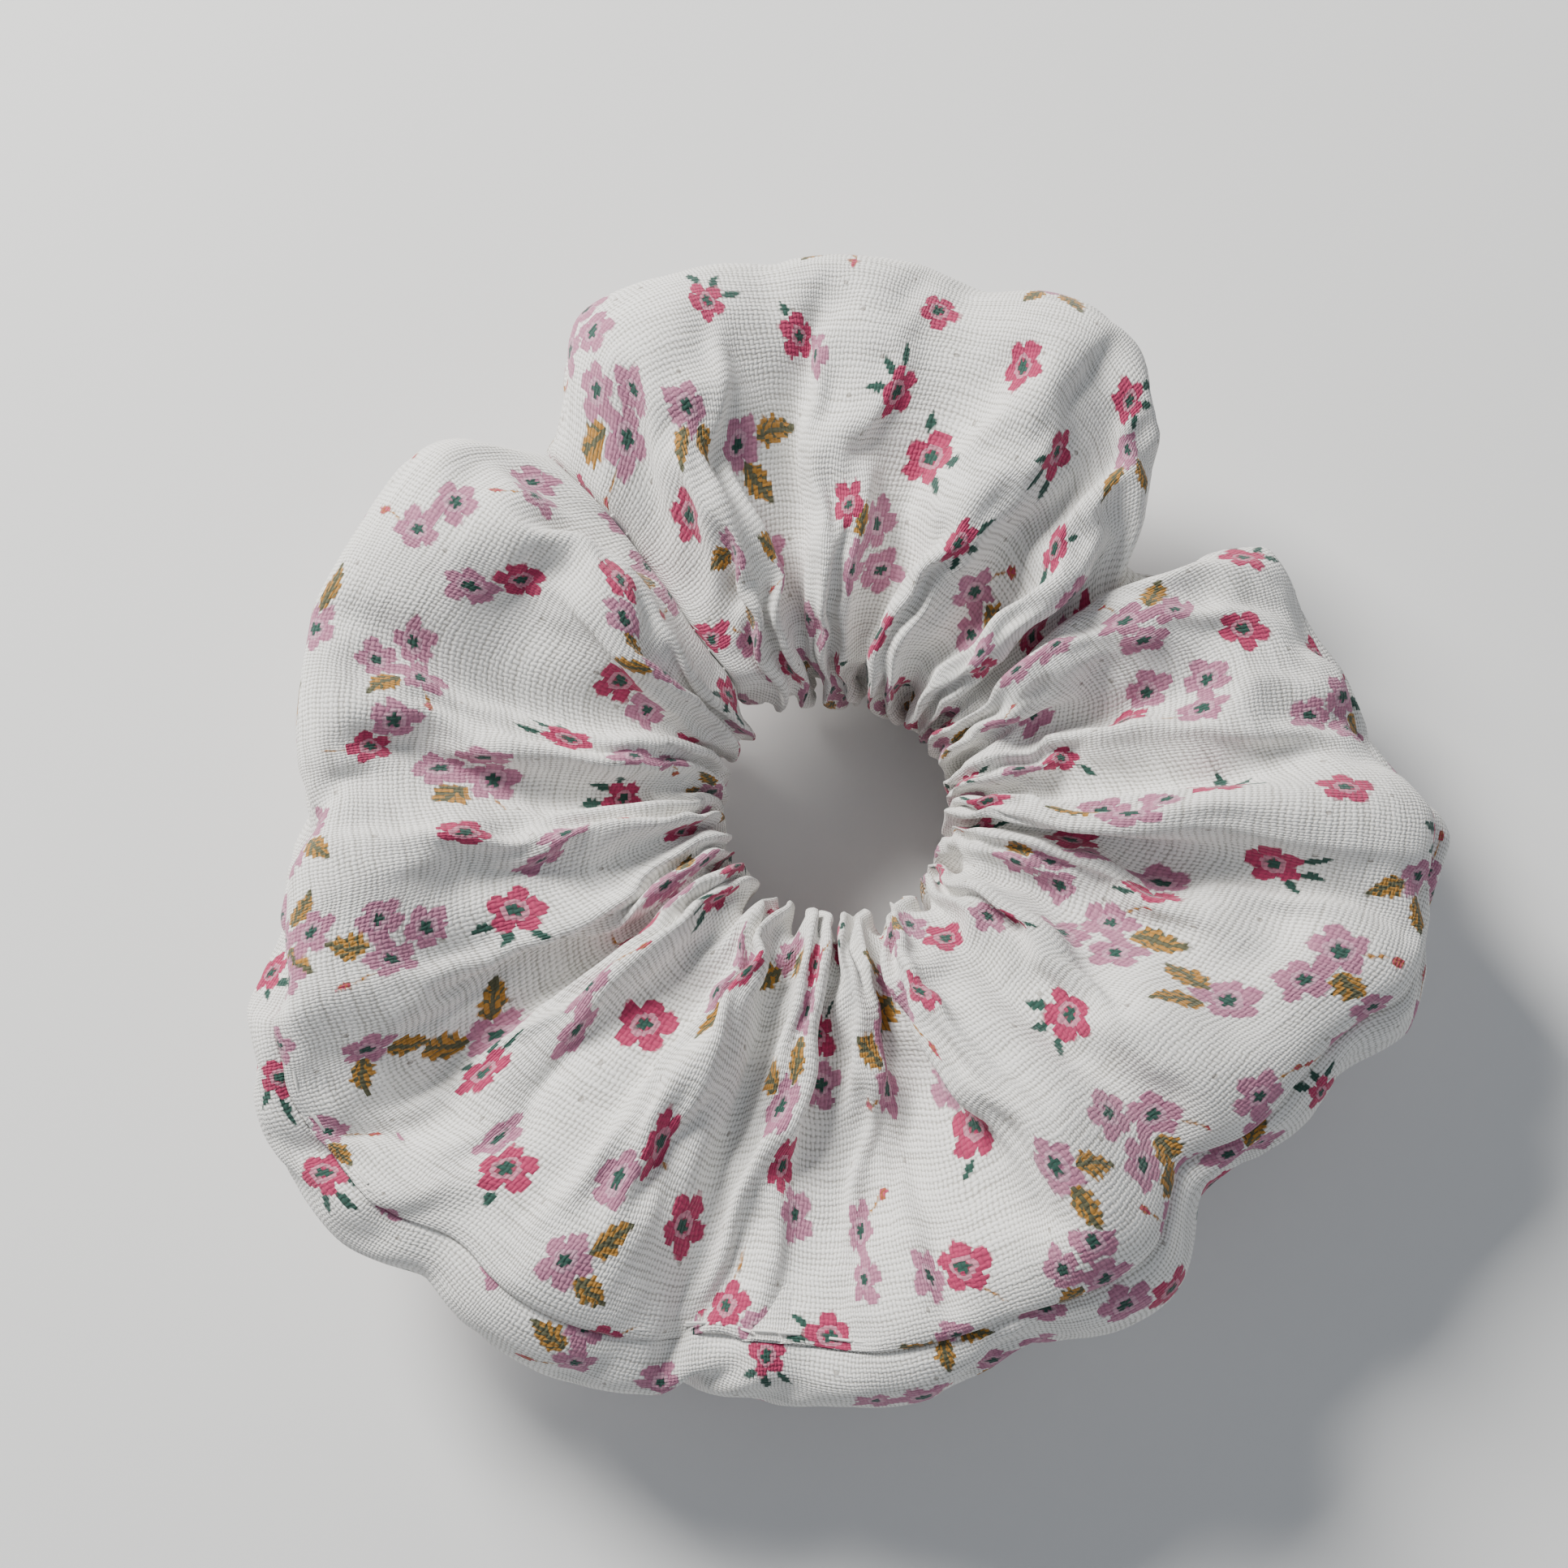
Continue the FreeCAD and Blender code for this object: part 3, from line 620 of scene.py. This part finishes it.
def leaf_group():
    """One printed leaf, bud or stem: pointed at the far end, toothed, with a midrib and side veins."""
    given = {"Cloth": "Vector", "Foot": "Vector", "Angle": "Float", "Length": "Float", "Width": "Float",
             "Shown": "Float", "Ink": "Color", "Vein ink": "Color"}
    tree, leaf = new_group("leaf", given, {"Colour": "Color", "Mask": "Float"})
    away = add(tree, "ShaderNodeVectorMath", {0: leaf["Cloth"], 1: leaf["Foot"]}, operation="SUBTRACT")[0]
    turned = {"Vector": away, "Angle": leaf["Angle"]}
    turned = add(tree, "ShaderNodeVectorRotate", turned, rotation_type="Z_AXIS", invert=True)[0]
    small = add(tree, "ShaderNodeMath", {0: 1.0, 1: leaf["Length"]}, operation="DIVIDE")[0]
    scaled = add(tree, "ShaderNodeVectorMath", {0: turned, "Scale": small}, operation="SCALE")[0]
    part = add(tree, "ShaderNodeSeparateXYZ", {0: scaled})
    along = add(tree, "ShaderNodeMath", {0: part["X"], 1: 0.0}, operation="ADD", use_clamp=True)[0]
    off = add(tree, "ShaderNodeMath", {0: part["Y"]}, operation="ABSOLUTE")[0]
    eased = add(tree, "ShaderNodeMath", {0: along, 1: 0.7}, operation="POWER")[0]
    arch = add(tree, "ShaderNodeMath", {0: eased, 1: math.pi}, operation="MULTIPLY")[0]
    arch = add(tree, "ShaderNodeMath", {0: arch}, operation="SINE")[0]
    teeth = add(tree, "ShaderNodeMath", {0: along, 1: 30.0}, operation="MULTIPLY")[0]
    teeth = add(tree, "ShaderNodeMath", {0: teeth}, operation="SINE")[0]
    teeth = add(tree, "ShaderNodeMath", {0: teeth, 1: 0.16, 2: 1.0}, operation="MULTIPLY_ADD")[0]
    outline = add(tree, "ShaderNodeMath", {0: arch, 1: teeth}, operation="MULTIPLY")[0]
    outline = add(tree, "ShaderNodeMath", {0: outline, 1: leaf["Width"]}, operation="MULTIPLY")[0]
    inside = add(tree, "ShaderNodeMath", {0: outline, 1: off}, operation="SUBTRACT")[0]
    soft = add(tree, "ShaderNodeMath", {0: leaf["Length"], 1: 5.0}, operation="MULTIPLY")[0]
    inside = {0: inside, 1: soft, 2: 0.0}
    shape = add(tree, "ShaderNodeMath", inside, operation="MULTIPLY_ADD", use_clamp=True)[0]
    mask = add(tree, "ShaderNodeMath", {0: shape, 1: leaf["Shown"]}, operation="MULTIPLY")[0]
    midrib = add(tree, "ShaderNodeMath", {0: off, 1: 0.0, 2: 0.045}, operation="COMPARE")[0]
    slope = add(tree, "ShaderNodeMath", {0: off, 1: -1.3, 2: along}, operation="MULTIPLY_ADD")[0]
    slope = add(tree, "ShaderNodeMath", {0: slope, 1: 26.0}, operation="MULTIPLY")[0]
    slope = add(tree, "ShaderNodeMath", {0: slope}, operation="SINE")[0]
    veins = add(tree, "ShaderNodeMath", {0: slope, 1: 0.55}, operation="GREATER_THAN")[0]
    veins = add(tree, "ShaderNodeMath", {0: veins, 1: midrib}, operation="MAXIMUM")[0]
    drawn = add(tree, "ShaderNodeMath", {0: veins, 1: 0.8}, operation="MULTIPLY")[0]
    colour = {0: drawn, 6: leaf["Ink"], 7: leaf["Vein ink"]}
    colour = add(tree, "ShaderNodeMix", colour, data_type="RGBA")[2]
    add(tree, "NodeGroupOutput", {"Colour": colour, "Mask": mask})
    return tree


def new_material(name):
    """A material with an empty node tree."""
    material = bpy.data.materials.new(name)
    material.use_nodes = True
    material.node_tree.nodes.clear()
    return material, material.node_tree


def print_on(tree, cloth, bare):
    """The sprays of flowers over the bare cloth's colour; cloth is the place on it in millimetres."""
    threads = (WEAVE_PITCH, WEAVE_PITCH, 1.0)
    stepped = add(tree, "ShaderNodeVectorMath", {0: cloth, 1: threads}, operation="SNAP")[0]
    half_way = {0: 0.5, 4: cloth, 5: stepped}
    ragged = add(tree, "ShaderNodeMix", half_way, data_type="VECTOR")[1]
    hand = add(tree, "ShaderNodeTexNoise", {"Vector": cloth, "Scale": 0.45, "Detail": 1.0})[1]
    drawn = {0: hand, 1: (1.1, 1.1, 0.0), 2: ragged}
    drawn = add(tree, "ShaderNodeVectorMath", drawn, operation="MULTIPLY_ADD")[0]
    lattice = {"Vector": drawn, "Rotation": (0, 0, math.radians(24)), "Scale": (1 / SPRAY_SPACING,) * 3}
    lattice = add(tree, "ShaderNodeMapping", lattice, vector_type="POINT")[0]
    cells = {"Vector": lattice, "Scale": 1.0, "Randomness": 0.5}
    cells = add(tree, "ShaderNodeTexVoronoi", cells, voronoi_dimensions="2D", feature="F1")
    local = add(tree, "ShaderNodeVectorMath", {0: lattice, 1: cells["Position"]}, operation="SUBTRACT")[0]
    chance = add(tree, "ShaderNodeSeparateColor", {0: cells["Color"]})
    turn = add(tree, "ShaderNodeMath", {0: chance["Green"], 1: 2 * math.pi}, operation="MULTIPLY")[0]
    local = {"Vector": local, "Angle": turn}
    local = add(tree, "ShaderNodeVectorRotate", local, rotation_type="Z_AXIS")[0]
    size = {0: chance["Blue"], 1: 0.16 * SPRAY_SPACING, 2: 0.93 * SPRAY_SPACING}
    size = add(tree, "ShaderNodeMath", size, operation="MULTIPLY_ADD")[0]
    local = add(tree, "ShaderNodeVectorMath", {0: local, "Scale": size}, operation="SCALE")[0]

    colour = bare
    leaf = leaf_group()
    blossom = blossom_group()
    for first, last, foot, angle, length, width, ink, vein in LEAVES:
        kinds = {0: chance["Red"], 1: (first + last) / 2, 2: (last - first) / 2}
        shown = add(tree, "ShaderNodeMath", kinds, operation="COMPARE")[0]
        drawing = {"Cloth": local, "Foot": (*foot, 0), "Angle": math.radians(angle), "Length": length,
                   "Width": width, "Shown": shown, "Ink": ink, "Vein ink": vein}
        drawing = add(tree, "ShaderNodeGroup", node_tree=leaf, inputs=drawing)
        over = {0: drawing["Mask"], 6: colour, 7: drawing["Colour"]}
        colour = add(tree, "ShaderNodeMix", over, data_type="RGBA")[2]
    for first, last, place, turn, petal, ink, deep in FLOWERS:
        kinds = {0: chance["Red"], 1: (first + last) / 2, 2: (last - first) / 2}
        shown = add(tree, "ShaderNodeMath", kinds, operation="COMPARE")[0]
        drawing = {"Cloth": local, "Place": (*place, 0), "Turn": turn, "Petal": petal, "Shown": shown,
                   "Ink": ink, "Deep ink": deep}
        drawing = add(tree, "ShaderNodeGroup", node_tree=blossom, inputs=drawing)
        over = {0: drawing["Mask"], 6: colour, 7: drawing["Colour"]}
        colour = add(tree, "ShaderNodeMix", over, data_type="RGBA")[2]
    return colour


def printed_muslin():
    """Cotton muslin, plain woven from soft uneven threads and printed in four inks: matt, with painted shade
    that greys the little gaps between its threads and dims the colour in the weave's hollows, with the odd slub
    and speck of seed husk."""
    material, tree = new_material("printed_cotton_muslin")
    cloth = add(tree, "ShaderNodeUVMap", uv_map="cloth")[0]

    drift = add(tree, "ShaderNodeTexNoise", {"Vector": cloth, "Scale": 0.25, "Detail": 2.0})[1]
    wavy = {0: drift, 1: (0.9, 0.9, 0.0), 2: cloth}
    wavy = add(tree, "ShaderNodeVectorMath", wavy, operation="MULTIPLY_ADD")[0]
    angle = math.pi / WEAVE_PITCH
    threads = {0: wavy, 1: (angle, angle * 0.9, 0.0)}
    threads = add(tree, "ShaderNodeVectorMath", threads, operation="MULTIPLY")[0]
    waves = add(tree, "ShaderNodeVectorMath", {0: threads}, operation="SINE")[0]
    wave = add(tree, "ShaderNodeSeparateXYZ", {0: waves})
    crossing = add(tree, "ShaderNodeMath", {0: wave["X"], 1: wave["Y"]}, operation="MULTIPLY")[0]
    over = add(tree, "ShaderNodeMath", {0: crossing, 1: 0.42}, operation="MULTIPLY")[0]
    under = add(tree, "ShaderNodeMath", {0: crossing, 1: -0.42}, operation="MULTIPLY")[0]
    warp = add(tree, "ShaderNodeMath", {0: wave["X"]}, operation="ABSOLUTE")[0]
    weft = add(tree, "ShaderNodeMath", {0: wave["Y"]}, operation="ABSOLUTE")[0]
    warp = add(tree, "ShaderNodeMath", {0: warp, 1: 0.58, 2: over}, operation="MULTIPLY_ADD")[0]
    weft = add(tree, "ShaderNodeMath", {0: weft, 1: 0.58, 2: under}, operation="MULTIPLY_ADD")[0]
    height = add(tree, "ShaderNodeMath", {0: warp, 1: weft}, operation="MAXIMUM")[0]

    stretched = add(tree, "ShaderNodeVectorMath", {0: cloth, 1: (0.12, 1.6, 0.0)}, operation="MULTIPLY")[0]
    slub = add(tree, "ShaderNodeTexNoise", {"Vector": stretched, "Scale": 1.0, "Detail": 2.0})[0]
    slubbed = {0: slub, 1: 0.9, 2: -0.45}
    slubbed = add(tree, "ShaderNodeMath", slubbed, operation="MULTIPLY_ADD")[0]
    height = add(tree, "ShaderNodeMath", {0: slubbed, 1: height}, operation="ADD")[0]

    # Painted shade: the bare cloth is mixed towards grey where the threads are thin, in the gaps between them.
    painted_gap_shade_mix = {"Value": height, "From Min": 0.15, "From Max": 0.62}
    painted_gap_shade_mix = add(tree, "ShaderNodeMapRange", painted_gap_shade_mix)[0]
    bare = {0: painted_gap_shade_mix, 6: linear("#CFCBC3"), 7: linear("#F6F4F0")}
    bare = add(tree, "ShaderNodeMix", bare, data_type="RGBA")[2]
    husk = {"Vector": cloth, "Scale": 0.11, "Randomness": 1.0}
    husk = add(tree, "ShaderNodeTexVoronoi", husk, voronoi_dimensions="2D", feature="F1")["Distance"]
    husk = add(tree, "ShaderNodeMath", {0: husk, 1: 0.028}, operation="LESS_THAN")[0]
    husk = add(tree, "ShaderNodeMath", {0: husk, 1: 0.55}, operation="MULTIPLY")[0]
    bare = add(tree, "ShaderNodeMix", {0: husk, 6: bare, 7: linear("#6E6153")}, data_type="RGBA")[2]

    printed = print_on(tree, cloth, bare)
    # Painted shade and highlight: the printed colour is dimmed in the weave's hollows and brightened a little on
    # the thread tops.
    weave_shade_and_highlight = {"Value": height, "From Min": 0.1, "From Max": 0.7, "To Min": 0.72, "To Max": 1.04}
    weave_shade_and_highlight = add(tree, "ShaderNodeMapRange", weave_shade_and_highlight)[0]
    shaded = add(tree, "ShaderNodeVectorMath", {0: printed, "Scale": weave_shade_and_highlight}, operation="SCALE")[0]
    bump = {"Height": height, "Distance": 0.14 * MM, "Strength": 0.7}
    bump = add(tree, "ShaderNodeBump", bump)[0]
    cotton = {"Base Color": shaded, "Roughness": 0.86, "IOR": 1.53, "Specular IOR Level": 0.25,
              "Sheen Weight": 0.25, "Sheen Roughness": 0.6, "Normal": bump}
    cotton = add(tree, "ShaderNodeBsdfPrincipled", cotton)[0]
    add(tree, "ShaderNodeOutputMaterial", {"Surface": cotton})
    return material


def braided_elastic():
    """Polyester braided over rubber strands: dull white, with the braid's fine slanting stitches."""
    material, tree = new_material("braided_polyester_elastic")
    place = add(tree, "ShaderNodeTexCoord")["Object"]
    side = add(tree, "ShaderNodeSeparateXYZ", {0: place})
    angle = add(tree, "ShaderNodeMath", {0: side["Y"], 1: side["X"]}, operation="ARCTAN2")[0]
    along = add(tree, "ShaderNodeMath", {0: angle, 1: BAND_HIGH.x * 2 * math.pi / 0.7}, operation="MULTIPLY")[0]
    up = add(tree, "ShaderNodeMath", {0: side["Z"], 1: 2 * math.pi / (0.75 * MM)}, operation="MULTIPLY")[0]
    row = add(tree, "ShaderNodeMath", {0: up}, operation="SINE")[0]
    slant = add(tree, "ShaderNodeMath", {0: row, 1: 1.2, 2: along}, operation="MULTIPLY_ADD")[0]
    stitch = add(tree, "ShaderNodeMath", {0: slant}, operation="SINE")[0]
    shade = {"Value": stitch, "From Min": -1.0, "From Max": 1.0}
    shade = add(tree, "ShaderNodeMapRange", shade)[0]
    colour = {0: shade, 6: linear("#DAD8D2"), 7: linear("#F4F3EF")}
    colour = add(tree, "ShaderNodeMix", colour, data_type="RGBA")[2]
    bump = add(tree, "ShaderNodeBump", {"Height": shade, "Distance": 0.08 * MM, "Strength": 0.7})[0]
    braid = {"Base Color": colour, "Roughness": 0.7, "IOR": 1.57, "Sheen Weight": 0.15, "Normal": bump}
    braid = add(tree, "ShaderNodeBsdfPrincipled", braid)[0]
    add(tree, "ShaderNodeOutputMaterial", {"Surface": braid})
    return material


def spun_thread():
    """Sewing thread spun from polyester staple: white, faintly hairy, its plies twisted together."""
    material, tree = new_material("spun_polyester_thread")
    place = add(tree, "ShaderNodeTexCoord")["Object"]
    fuzz = add(tree, "ShaderNodeTexNoise", {"Vector": place, "Scale": 1 / (0.12 * MM), "Detail": 3.0})[0]
    colour = {0: fuzz, 6: linear("#DDDAD3"), 7: linear("#FAF9F6")}
    colour = add(tree, "ShaderNodeMix", colour, data_type="RGBA")[2]
    bump = add(tree, "ShaderNodeBump", {"Height": fuzz, "Distance": 0.04 * MM, "Strength": 0.5})[0]
    spun = {"Base Color": colour, "Roughness": 0.6, "IOR": 1.57, "Sheen Weight": 0.2, "Normal": bump}
    spun = add(tree, "ShaderNodeBsdfPrincipled", spun)[0]
    add(tree, "ShaderNodeOutputMaterial", {"Surface": spun})
    return material


def floor_paint():
    """Matt white painted board: it only has to be pale and plain, and take soft shadows."""
    material, tree = new_material("matt_white_board")
    place = add(tree, "ShaderNodeTexCoord")["Object"]
    tooth = add(tree, "ShaderNodeTexNoise", {"Vector": place, "Scale": 900.0, "Detail": 2.0})[0]
    bump = add(tree, "ShaderNodeBump", {"Height": tooth, "Distance": 0.02 * MM, "Strength": 0.2})[0]
    board = {"Base Color": linear("#EDEDEC"), "Roughness": 0.8, "Normal": bump}
    board = add(tree, "ShaderNodeBsdfPrincipled", board)[0]
    add(tree, "ShaderNodeOutputMaterial", {"Surface": board})
    return material


# ---------------------------------------------------------------- stage

def lay_floor():
    """A plain pale board under the ring."""
    half = 1.5
    corners = [(-half, -half, 0), (half, -half, 0), (half, half, 0), (-half, half, 0)]
    board = new_piece("floor", corners, [(0, 1, 2, 3)])
    board.data.materials.append(floor_paint())


def aim(thing, place, target):
    """The thing stands at place and points at target."""
    thing.location = place
    thing.rotation_euler = (Vector(target) - Vector(place)).to_track_quat("-Z", "Y").to_euler()
    bpy.context.scene.collection.objects.link(thing)


def soft_light(name, place, size, watts, colour):
    """A large square softbox that points at the ring."""
    lamp = bpy.data.lights.new(name, "AREA")
    lamp.size = size
    lamp.energy = watts
    lamp.color = linear(colour)[:3]
    aim(bpy.data.objects.new(name, lamp), place, (0, 0, 0.02))


def light_the_ring():
    """A broad key from behind on the left, a weak fill in front and a pale surround."""
    soft_light("key", (-0.50, 0.55, 0.50), 0.30, 17.5, "#FFFDF9")
    soft_light("fill", (0.6, -0.5, 0.6), 0.8, 1.6, "#EAF1FA")
    world = bpy.data.worlds.new("pale_surround")
    world.use_nodes = True
    world.node_tree.nodes.clear()
    air = add(world.node_tree, "ShaderNodeBackground", {"Color": linear("#E4EAF2"), "Strength": 0.28})[0]
    add(world.node_tree, "ShaderNodeOutputWorld", {"Surface": air})
    bpy.context.scene.world = world


def stand_camera():
    """The camera, high over the ring's front edge."""
    lens = bpy.data.cameras.new("camera")
    lens.lens = 68.0
    lens.sensor_width = 36.0
    target = Vector((-5.2, 2.3, MIDDLE)) * MM
    tilt = math.radians(75)
    place = target + 0.30 * Vector((0, -math.cos(tilt), math.sin(tilt)))
    camera = bpy.data.objects.new("camera", lens)
    aim(camera, place, target)
    bpy.context.scene.camera = camera


# ---------------------------------------------------------------- the whole ring

cover, tube = gathered_cover()
cover.data.materials.append(printed_muslin())
elastic = elastic_loop()
elastic.data.materials.append(braided_elastic())
stitches = stitch_tree()
polyester = spun_thread()
rows = long_seam_rows(tube)
long_seam = sewn("long_seam_stitches", rows, STITCH_PITCH, LOCKSTITCH, polyester, stitches)
rows = closing_seam_rows(tube)
closing_seam = sewn("closing_seam_stitches", rows, STITCH_PITCH, LADDER_STITCH, polyester, stitches)
# A little under one step along the inner row, so that no row loses its last stitch.
tack_pitch = 0.97 * math.radians(TACK_STEP) * BAND_HIGH.x * 0.92
tacks = sewn("elastic_bar_tacks", bar_tack_rows(), tack_pitch, TACK_STITCH, polyester, stitches)

for piece, slot, nodes in (
    (cover, "printed_cotton", ("cover_left_half", "cover_right_half")),
    (elastic, "elastic", ("elastic_band",)),
    (tacks, "sewing_thread", ("elastic_join_thread",)),
    (long_seam, "sewing_thread", ("long_seam_thread",)),
    (closing_seam, "sewing_thread", ("closing_seam_thread",)),
):
    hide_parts(*nodes)
    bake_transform(piece)

lay_floor()
light_the_ring()
stand_camera()
